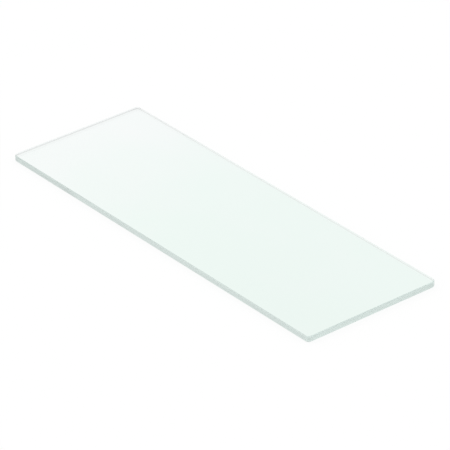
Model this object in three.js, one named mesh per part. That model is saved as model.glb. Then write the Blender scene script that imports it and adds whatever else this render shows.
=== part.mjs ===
// Microscope slide: one plate of clear glass, polished on both faces and ground all round its edge.
//
// Millimetres, +Z up. The slide lies flat, as it rests on a bench or a stage. The origin is the
// centre of its underside, +X runs along its length and +Y across its width.

import * as THREE from 'three';

// Driving dimensions. Each can be changed by itself.

const LENGTH = 76;           // of the whole plate, ground edge to ground edge
const WIDTH = 26;
const THICKNESS = 1.05;      // polished face to polished face
const ARRIS = 0.15;          // leg of the 45 degree facet ground along both rims of the edge
const CORNER_RADIUS = 0.8;   // the sharp corners are dubbed off on the grinding wheel

// Flat faces that stand for each quarter turn of a dubbed corner. It sets no size.

const CORNER_FACES = 12;

// Plan outline of the plate at its widest: four straight ground sides that run tangent into the
// four dubbed corners, drawn anticlockwise about the origin.

function plateOutline(length, width, radius) {
  const cornerX = length / 2 - radius;
  const cornerY = width / 2 - radius;
  const quarterTurn = Math.PI / 2;

  const outline = new THREE.Shape();
  outline.absarc(cornerX, -cornerY, radius, -quarterTurn, 0);
  outline.absarc(cornerX, cornerY, radius, 0, quarterTurn);
  outline.absarc(-cornerX, cornerY, radius, quarterTurn, 2 * quarterTurn);
  outline.absarc(-cornerX, -cornerY, radius, 2 * quarterTurn, 3 * quarterTurn);
  outline.closePath();
  return outline;
}

// The plate itself. The straight ground side stands between two arrises, which lean in at 45
// degrees from the full outline to the rim of each polished face. The extrusion makes the side,
// its bevel makes the arrises, and the offset keeps the full outline at its named size.
// An extrusion gives an arc two faces for each of its curve segments.

function groundPlate(outline, thickness, arris) {
  const plate = new THREE.ExtrudeGeometry(outline, {
    depth: thickness - 2 * arris,
    curveSegments: CORNER_FACES / 2,
    bevelEnabled: true,
    bevelSegments: 1,
    bevelThickness: arris,
    bevelSize: arris,
    bevelOffset: -arris,
  });
  plate.translate(0, 0, arris);
  return plate;
}

// Clear soda-lime glass. A trace of iron gives it the faint green that gathers at the edge.

function clearGlass() {
  return new THREE.MeshStandardMaterial({
    color: new THREE.Color(0.86, 0.945, 0.91),
    roughness: 0.04,
    metalness: 0,
    transparent: true,
    opacity: 0.35,
  });
}

const outline = plateOutline(LENGTH, WIDTH, CORNER_RADIUS);
const glassSlide = new THREE.Mesh(groundPlate(outline, THICKNESS, ARRIS), clearGlass());
glassSlide.name = 'glass_slide';

const microscopeSlide = new THREE.Group();
microscopeSlide.name = 'microscope_slide';
microscopeSlide.add(glassSlide);

export default microscopeSlide;
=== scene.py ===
import math

import bpy
from mathutils import Matrix, Vector


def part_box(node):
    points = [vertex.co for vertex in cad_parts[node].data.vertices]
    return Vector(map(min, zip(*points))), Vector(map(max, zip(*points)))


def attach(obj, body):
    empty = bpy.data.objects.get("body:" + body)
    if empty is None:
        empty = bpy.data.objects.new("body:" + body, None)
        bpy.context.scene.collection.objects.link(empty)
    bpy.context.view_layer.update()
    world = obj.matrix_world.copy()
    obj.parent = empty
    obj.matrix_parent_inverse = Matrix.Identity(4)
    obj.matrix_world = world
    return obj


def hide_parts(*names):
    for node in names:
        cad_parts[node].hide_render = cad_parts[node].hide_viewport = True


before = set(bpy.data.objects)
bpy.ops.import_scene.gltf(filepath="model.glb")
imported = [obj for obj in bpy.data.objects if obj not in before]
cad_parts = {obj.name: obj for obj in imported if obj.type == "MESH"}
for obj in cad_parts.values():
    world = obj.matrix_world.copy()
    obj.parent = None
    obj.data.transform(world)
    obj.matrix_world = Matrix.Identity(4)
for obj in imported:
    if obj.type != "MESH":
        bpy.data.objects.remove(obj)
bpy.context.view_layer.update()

# ---------------------------------------------------------------------------------------------
# The slide. One plate of clear soda-lime glass, cut from drawn sheet. Both faces keep the fire
# polish of the sheet. The edge is ground on a wet wheel all round: a straight satin side between
# two narrow arrises, with the four corners dubbed off.

CORNERS = (                  # which way each lies along X and Y, and how far it is dubbed off
    (-1, -1, 0.0010),
    (1, -1, 0.0007),
    (1, 1, 0.0011),
    (-1, 1, 0.0007),
)
CORNER_SEGMENTS = 16
ARRIS = 0.00015              # both legs of the 45 degree facet along a rim
RIM_ROUND = 0.00002          # the soft line that grinding leaves where two of its facets meet
RIM_SEGMENTS = 3
RIM_TURN = math.radians(30)  # facets that meet at a sharper turn than this get that soft line
HAIR = 0.00001               # places this close together count as one
LIES_FLAT = 0.999            # a face lies flat if its normal is steeper than this,
STANDS_UPRIGHT = 0.001       # and it stands upright if its normal is shallower than this

slide_low, slide_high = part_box("glass_slide")
bpy.ops.object.select_all(action="DESELECT")
bpy.ops.mesh.primitive_cube_add(size=1, location=(slide_low + slide_high) / 2)
slide = bpy.context.object
slide.name = "glass_plate"
slide.scale = slide_high - slide_low
bpy.ops.object.transform_apply(location=True, rotation=True, scale=True)


def select_edges(piece, wanted):
    """Leaves edit mode open with only the wanted edges selected. wanted is given an edge's two
    ends and the normals of the faces beside it."""
    bpy.ops.object.mode_set(mode="EDIT")
    bpy.ops.mesh.select_mode(type="EDGE")
    bpy.ops.mesh.select_all(action="DESELECT")
    bpy.ops.object.mode_set(mode="OBJECT")
    mesh = piece.data
    beside = {edge.key: [] for edge in mesh.edges}
    for face in mesh.polygons:
        for key in face.edge_keys:
            beside[key].append(face.normal.copy())
    for edge in mesh.edges:
        ends = [mesh.vertices[i].co for i in edge.vertices]
        edge.select = wanted(ends, beside[edge.key])
    bpy.ops.object.mode_set(mode="EDIT")


def sharp_corner(way_x, way_y):
    """A choice for select_edges: the upright edge where that end and that side meet."""
    def wanted(ends, normals):
        return all(
            end.x * way_x > slide_high.x - HAIR and end.y * way_y > slide_high.y - HAIR
            for end in ends
        )

    return wanted


def on_a_rim(ends, normals):
    """A choice for select_edges: an edge between a polished face and the ground side."""
    steepness = [abs(normal.z) for normal in normals]
    return max(steepness) > LIES_FLAT and min(steepness) < STANDS_UPRIGHT


for way_x, way_y, radius in CORNERS:
    select_edges(slide, sharp_corner(way_x, way_y))
    bpy.ops.mesh.bevel(offset=radius, segments=CORNER_SEGMENTS, affect="EDGES")
select_edges(slide, on_a_rim)
bpy.ops.mesh.bevel(offset=ARRIS, segments=1, affect="EDGES")
bpy.ops.object.mode_set(mode="OBJECT")

soft_rim = slide.modifiers.new("soft rim", "BEVEL")
soft_rim.limit_method = "ANGLE"
soft_rim.angle_limit = RIM_TURN
soft_rim.width = RIM_ROUND
soft_rim.segments = RIM_SEGMENTS
bpy.ops.object.modifier_apply(modifier=soft_rim.name)

bpy.ops.object.shade_smooth()
true_flats = slide.modifiers.new("true flats", "WEIGHTED_NORMAL")
bpy.ops.object.modifier_apply(modifier=true_flats.name)

# Both finishes vary a little from place to place. The group gives a mask that drifts between 0
# and 1, with its own patch size along the plate, across it and through its thickness.

CLOUDS_FROM = 0.3            # nearly all of the noise lies between these two
CLOUDS_TO = 0.7


def make_drift_group():
    group = bpy.data.node_groups.new("drift in the glass", "ShaderNodeTree")
    group.interface.new_socket("Patches per Metre", in_out="INPUT", socket_type="NodeSocketVector")
    group.interface.new_socket("Detail", in_out="INPUT", socket_type="NodeSocketFloat")
    group.interface.new_socket("Mask", in_out="OUTPUT", socket_type="NodeSocketFloat")
    nodes = group.nodes
    links = group.links
    given = nodes.new("NodeGroupInput")
    given_out = nodes.new("NodeGroupOutput")
    place = nodes.new("ShaderNodeTexCoord")
    stretch = nodes.new("ShaderNodeVectorMath")
    stretch.operation = "MULTIPLY"
    clouds = nodes.new("ShaderNodeTexNoise")
    clouds.inputs["Scale"].default_value = 1
    spread = nodes.new("ShaderNodeMapRange")
    spread.inputs["From Min"].default_value = CLOUDS_FROM
    spread.inputs["From Max"].default_value = CLOUDS_TO
    links.new(place.outputs["Object"], stretch.inputs[0])
    links.new(given.outputs["Patches per Metre"], stretch.inputs[1])
    links.new(stretch.outputs["Vector"], clouds.inputs["Vector"])
    links.new(given.outputs["Detail"], clouds.inputs["Detail"])
    links.new(clouds.outputs["Fac"], spread.inputs["Value"])
    links.new(spread.outputs["Result"], given_out.inputs["Mask"])
    return group


drift_group = make_drift_group()

GLASS_IOR = 1.52


class Finish:
    """A new material with an empty tree, and short ways to fill it."""

    def __init__(self, name):
        self.material = bpy.data.materials.new(name)
        self.material.use_nodes = True
        self.nodes = self.material.node_tree.nodes
        self.nodes.clear()
        self.link = self.material.node_tree.links.new
        self.out = self.nodes.new("ShaderNodeOutputMaterial")

    def drift(self, patches_per_metre, detail=2):
        """A mask that drifts between 0 and 1."""
        node = self.nodes.new("ShaderNodeGroup")
        node.node_tree = drift_group
        node.inputs["Patches per Metre"].default_value = patches_per_metre
        node.inputs["Detail"].default_value = detail
        return node.outputs["Mask"]

    def blend(self, mask, first, second):
        """The first colour where the mask is 0, and the second where it is 1."""
        node = self.nodes.new("ShaderNodeMix")
        node.data_type = "RGBA"
        node.inputs["A"].default_value = (*first, 1)
        node.inputs["B"].default_value = (*second, 1)
        self.link(mask, node.inputs["Factor"])
        return node.outputs["Result"]

    def between(self, mask, low, high):
        """A number that is low where the mask is 0, and high where it is 1."""
        node = self.nodes.new("ShaderNodeMapRange")
        node.inputs["To Min"].default_value = low
        node.inputs["To Max"].default_value = high
        self.link(mask, node.inputs["Value"])
        return node.outputs["Result"]

    def place(self, outwards=False):
        """Where a point lies. With outwards, both ends and both sides of the plate count alike."""
        place = self.nodes.new("ShaderNodeTexCoord").outputs["Object"]
        if not outwards:
            return place
        node = self.nodes.new("ShaderNodeVectorMath")
        node.operation = "ABSOLUTE"
        self.link(place, node.inputs[0])
        return node.outputs["Vector"]

    def step(self, value, start, end):
        """A mask that passes from 0 where the value is start to 1 where it is end."""
        node = self.nodes.new("ShaderNodeMapRange")
        node.interpolation_type = "SMOOTHSTEP"
        node.inputs["From Min"].default_value = start
        node.inputs["From Max"].default_value = end
        self.link(value, node.inputs["Value"])
        return node.outputs["Result"]

    def along(self, axis, start, end, outwards=False):
        """A mask that passes from 0 at start to 1 at end, both in metres along the axis."""
        node = self.nodes.new("ShaderNodeSeparateXYZ")
        self.link(self.place(outwards), node.inputs["Vector"])
        return self.step(node.outputs[axis], start, end)

    def near(self, spot, reach):
        """A mask that falls from 1 at the spot to 0 at reach from it."""
        node = self.nodes.new("ShaderNodeVectorMath")
        node.operation = "DISTANCE"
        node.inputs[1].default_value = spot
        self.link(self.place(), node.inputs[0])
        return self.step(node.outputs["Value"], reach, 0)

    def tinted(self, colour, mask, tint):
        """The colour, multiplied by the tint where the mask is 1."""
        node = self.nodes.new("ShaderNodeMix")
        node.data_type = "RGBA"
        node.blend_type = "MULTIPLY"
        node.inputs["B"].default_value = (*tint, 1)
        self.link(colour, node.inputs["A"])
        self.link(mask, node.inputs["Factor"])
        return node.outputs["Result"]

    def by_side(self, outside, inside):
        """One colour where light meets the skin from the air, another from within the glass."""
        node = self.nodes.new("ShaderNodeMix")
        node.data_type = "RGBA"
        self.link(self.nodes.new("ShaderNodeNewGeometry").outputs["Backfacing"], node.inputs["Factor"])
        self.link(outside, node.inputs["A"])
        self.link(inside, node.inputs["B"])
        return node.outputs["Result"]

    def sum(self, first, second):
        node = self.nodes.new("ShaderNodeMath")
        node.operation = "ADD"
        self.link(first, node.inputs[0])
        self.link(second, node.inputs[1])
        return node.outputs["Value"]

    def relief(self, height, depth):
        """A bump whose height mask of 1 stands depth metres above a mask of 0."""
        node = self.nodes.new("ShaderNodeBump")
        node.inputs["Distance"].default_value = depth
        self.link(height, node.inputs["Height"])
        return node.outputs["Normal"]

    def clear_glass(self, tint, roughness, normal):
        """Ends the material in clear glass that has this tint, roughness and relief."""
        glass = self.nodes.new("ShaderNodeBsdfPrincipled")
        glass.inputs["IOR"].default_value = GLASS_IOR
        glass.inputs["Transmission Weight"].default_value = 1.0
        self.link(tint, glass.inputs["Base Color"])
        self.link(roughness, glass.inputs["Roughness"])
        self.link(normal, glass.inputs["Normal"])
        self.link(glass.outputs["BSDF"], self.out.inputs["Surface"])


# The faces are painted paler towards the -X end of the plate: painted light, not a change in the
# glass.
FACE_TINT_PAINTED_LIGHT = (0.905, 0.928, 0.9225)
FACE_TINT_DEEP = (0.853, 0.9325, 0.8945)
FACE_PAINTED_LIGHT_RUN = (-0.050, 0.005)     # painted light, paler towards -X: where along the plate the pale tint passes into the deep one
FACE_TINT_DRIFT = 0.15              # how far that wanders, as a share of the whole run
FACE_TINT_PATCHES = (90, 90, 90)
FAR_SIDE_PAINTED_LIGHT = (1.015, 1.010, 1.016)   # painted light: the plate is a little lighter towards its +Y side
FACE_HAZE = 0.01
FACE_HAZE_PATCHES = (900, 900, 900)
FACE_WAVE = 0.0000002
FACE_WAVE_PATCHES = (25, 140, 140)  # the slow waves of drawn sheet run along the plate


def polished_glass():
    """The two faces: clear, flat and bright, with the faint draw of sheet glass."""
    finish = Finish("polished glass")
    wander = finish.between(finish.drift(FACE_TINT_PATCHES), -FACE_TINT_DRIFT, FACE_TINT_DRIFT)
    # painted light: the faces grow paler towards the -X end
    depth = finish.sum(finish.along("X", *FACE_PAINTED_LIGHT_RUN), wander)
    tint = finish.blend(depth, FACE_TINT_PAINTED_LIGHT, FACE_TINT_DEEP)
    # painted light: a little lighter towards the +Y side
    tint = finish.tinted(tint, finish.along("Y", slide_low.y, slide_high.y), FAR_SIDE_PAINTED_LIGHT)
    haze = finish.between(finish.drift(FACE_HAZE_PATCHES, detail=4), 0, FACE_HAZE)
    waves = finish.relief(finish.drift(FACE_WAVE_PATCHES, detail=1), FACE_WAVE)
    finish.clear_glass(tint, haze, waves)
    return finish.material


EDGE_TINT_PALE = (0.506, 0.636, 0.590)   # what the skin of the long sides lets out of the plate
EDGE_TINT_DEEP = (0.432, 0.543, 0.504)
END_PAINTED_LIGHT = (1.150, 1.183, 1.172)         # painted light: how much more the skin of the two ends lets out, so they look lighter
END_PAINT_DEPTH = (0.0008, 0.0002)             # how far in the long sides pass into the ends
ARRIS_PAINTED_LIGHT = (1.122, 1.122, 1.122)       # painted light: the upper arris is lighter than what lies below it
ARRIS_PAINTED_LIGHT_HEIGHT = (0.00085, 0.00095)        # where the side passes into that arris
# Seen from within the glass, the ends are darker than the long sides: painted shade.
LONG_SIDE_INSIDE = (0.76, 0.76, 0.76)    # what the skin passes of the light inside the plate
END_INSIDE_PAINTED_SHADE = (0.64, 0.64, 0.64)
PAINTED_SHADE_CORNERS = (                       # painted shade at three corners: which way each lies, and how much of the tint it keeps
    (-1, -1, 0.78),
    (1, 1, 0.84),
    (-1, 1, 0.65),
)
PAINTED_SHADE_REACH = 0.0021                    # how far from each of these corners the painted shade reaches
EDGE_ROUGH_LOW = 0.17
EDGE_ROUGH_HIGH = 0.25
EDGE_MARKS = (150, 150, 5000)            # the wheel leaves fine lines that run along the edge
EDGE_MARK_DEPTH = 0.000005


def ground_glass():
    """The edge: a satin skin. Light that the whole plate has gathered leaves through it, dimmed
    and grey-green, while light that stays inside the glass is dimmed less, and plain grey."""
    finish = Finish("ground glass")
    marks = finish.drift(EDGE_MARKS, detail=3)
    end = finish.along("X", *(slide_high.x - depth for depth in END_PAINT_DEPTH), outwards=True)
    skin = finish.blend(marks, EDGE_TINT_PALE, EDGE_TINT_DEEP)
    # painted light: the skin of the ends is lighter seen from outside
    skin = finish.tinted(skin, end, END_PAINTED_LIGHT)
    # painted light on the upper arris
    skin = finish.tinted(skin, finish.along("Z", *ARRIS_PAINTED_LIGHT_HEIGHT), ARRIS_PAINTED_LIGHT)
    # painted shade: the ends are darker seen from within the glass
    tint = finish.by_side(skin, finish.blend(end, LONG_SIDE_INSIDE, END_INSIDE_PAINTED_SHADE))
    # painted shade: darker round three of the corners
    for way_x, way_y, passes in PAINTED_SHADE_CORNERS:
        corner = finish.near((slide_high.x * way_x, slide_high.y * way_y, 0), PAINTED_SHADE_REACH)
        tint = finish.tinted(tint, corner, (passes, passes, passes))
    roughness = finish.between(marks, EDGE_ROUGH_LOW, EDGE_ROUGH_HIGH)
    finish.clear_glass(tint, roughness, finish.relief(marks, EDGE_MARK_DEPTH))
    return finish.material


slide.data.materials.append(polished_glass())
slide.data.materials.append(ground_glass())
for face in slide.data.polygons:
    is_polished = abs(face.normal.z) > LIES_FLAT
    face.material_index = 0 if is_polished else 1

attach(slide, "root")
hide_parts("glass_slide")

# ---------------------------------------------------------------------------------------------
# The studio. A white table runs out to a white surround, which lights the plate softly from all
# sides and is a little brighter in two places.

FLOOR_SIZE = 6.0
FLOOR_GAP = 0.00005          # the film of air that stays between two flat things
FLOOR_COLOUR = (0.98, 0.98, 0.98, 1)
FLOOR_GLOW = 0.8             # how far a direct look at the table is plain white, without shade

bpy.ops.object.select_all(action="DESELECT")
bpy.ops.mesh.primitive_plane_add(size=FLOOR_SIZE, location=(0, 0, slide_low.z - FLOOR_GAP))
floor = bpy.context.object
floor.name = "floor"


def seen_directly(nodes, link, amount):
    """amount for what the camera sees, by itself or in a mirror or through glass, and 0 for
    the light that falls on things."""
    path = nodes.new("ShaderNodeLightPath")
    first = nodes.new("ShaderNodeMath")
    second = nodes.new("ShaderNodeMath")
    share = nodes.new("ShaderNodeMath")
    for node, operation in ((first, "MAXIMUM"), (second, "MAXIMUM"), (share, "MULTIPLY")):
        node.operation = operation
    link(path.outputs["Is Camera Ray"], first.inputs[0])
    link(path.outputs["Is Glossy Ray"], first.inputs[1])
    link(first.outputs["Value"], second.inputs[0])
    link(path.outputs["Is Transmission Ray"], second.inputs[1])
    link(second.outputs["Value"], share.inputs[0])
    share.inputs[1].default_value = amount
    return share.outputs["Value"]


table = Finish("white table")
matt = table.nodes.new("ShaderNodeBsdfDiffuse")
matt.inputs["Color"].default_value = FLOOR_COLOUR
glow = table.nodes.new("ShaderNodeEmission")
glow.inputs["Strength"].default_value = 1.0
both = table.nodes.new("ShaderNodeMixShader")
table.link(seen_directly(table.nodes, table.link, FLOOR_GLOW), both.inputs["Fac"])
table.link(matt.outputs["BSDF"], both.inputs[1])
table.link(glow.outputs["Emission"], both.inputs[2])
table.link(both.outputs["Shader"], table.out.inputs["Surface"])
floor.data.materials.append(table.material)

WINDOW_TOWARDS = (160, 27)      # degrees round from +X, and degrees up from the table
WINDOW_RADIUS = 18              # in degrees too
WINDOW_LIGHT = 0.45
LOW_LIGHT_TOWARDS = (205, 8)
LOW_LIGHT_RADIUS = 50
LOW_LIGHT = 0.3

world = bpy.data.worlds.new("surround")
bpy.context.scene.world = world
world.use_nodes = True
nodes = world.node_tree.nodes
link = world.node_tree.links.new
surround = nodes["Background"]
surround.inputs["Color"].default_value = (1, 1, 1, 1)


def add_soft_light(light_so_far, towards, radius, strength):
    """A round glow in the white surround: strength at its middle, and nothing at its radius."""
    heading, height = (math.radians(angle) for angle in towards)
    middle = nodes.new("ShaderNodeVectorMath")
    middle.operation = "DOT_PRODUCT"
    middle.inputs[1].default_value = (
        math.cos(heading) * math.cos(height), math.sin(heading) * math.cos(height), math.sin(height)
    )
    glow = nodes.new("ShaderNodeMapRange")
    glow.interpolation_type = "SMOOTHSTEP"
    glow.inputs["From Min"].default_value = math.cos(math.radians(radius))
    glow.inputs["From Max"].default_value = 1
    glow.inputs["To Max"].default_value = strength
    total = nodes.new("ShaderNodeMath")
    total.operation = "ADD"
    link(nodes.new("ShaderNodeTexCoord").outputs["Generated"], middle.inputs[0])
    link(middle.outputs["Value"], glow.inputs["Value"])
    link(light_so_far, total.inputs[0])
    link(glow.outputs["Result"], total.inputs[1])
    return total.outputs["Value"]


white = nodes.new("ShaderNodeValue").outputs["Value"]
white.default_value = 1.0
light = add_soft_light(white, WINDOW_TOWARDS, WINDOW_RADIUS, WINDOW_LIGHT)
light = add_soft_light(light, LOW_LIGHT_TOWARDS, LOW_LIGHT_RADIUS, LOW_LIGHT)
link(light, surround.inputs["Strength"])

# ---------------------------------------------------------------------------------------------
# The camera looks down on one long side and one end. Its lens is a long one, which keeps the
# sides of the plate nearly parallel.

CAMERA_AZIMUTH = math.radians(51.99)
CAMERA_ELEVATION = math.radians(29.80)
CAMERA_ROLL = math.radians(-1.37)
CAMERA_DISTANCE = 0.5905
CAMERA_LENS = 296.2          # millimetres, as is the sensor
CAMERA_SENSOR = 36
NEAREST_SEEN = 0.01
FARTHEST_SEEN = 10
AIM = Vector((0.0017, 0.0, slide_low.z))

camera = bpy.data.objects.new("camera", bpy.data.cameras.new("camera"))
bpy.context.collection.objects.link(camera)
camera.data.sensor_width = CAMERA_SENSOR
camera.data.lens = CAMERA_LENS
turn = (
    Matrix.Rotation(CAMERA_AZIMUTH, 4, "Z")
    @ Matrix.Rotation(math.radians(90) - CAMERA_ELEVATION, 4, "X")
    @ Matrix.Rotation(CAMERA_ROLL, 4, "Z")
)
camera.matrix_world = Matrix.Translation(AIM) @ turn @ Matrix.Translation((0, 0, CAMERA_DISTANCE))
camera.data.clip_start = NEAREST_SEEN
camera.data.clip_end = FARTHEST_SEEN

LONGEST_PATH = 250                           # turns that a ray takes inside the plate
LONGEST_MATT_PATH = 8                        # and between the plate and the table

scene = bpy.context.scene
scene.camera = camera
scene.view_settings.view_transform = "Standard"
scene.cycles.blur_glossy = 0                 # light reaches the table through the clear plate
scene.cycles.max_bounces = LONGEST_PATH      # and runs from end to end inside it
scene.cycles.min_light_bounces = LONGEST_PATH
scene.cycles.transmission_bounces = LONGEST_PATH
scene.cycles.glossy_bounces = LONGEST_PATH
scene.cycles.diffuse_bounces = LONGEST_MATT_PATH
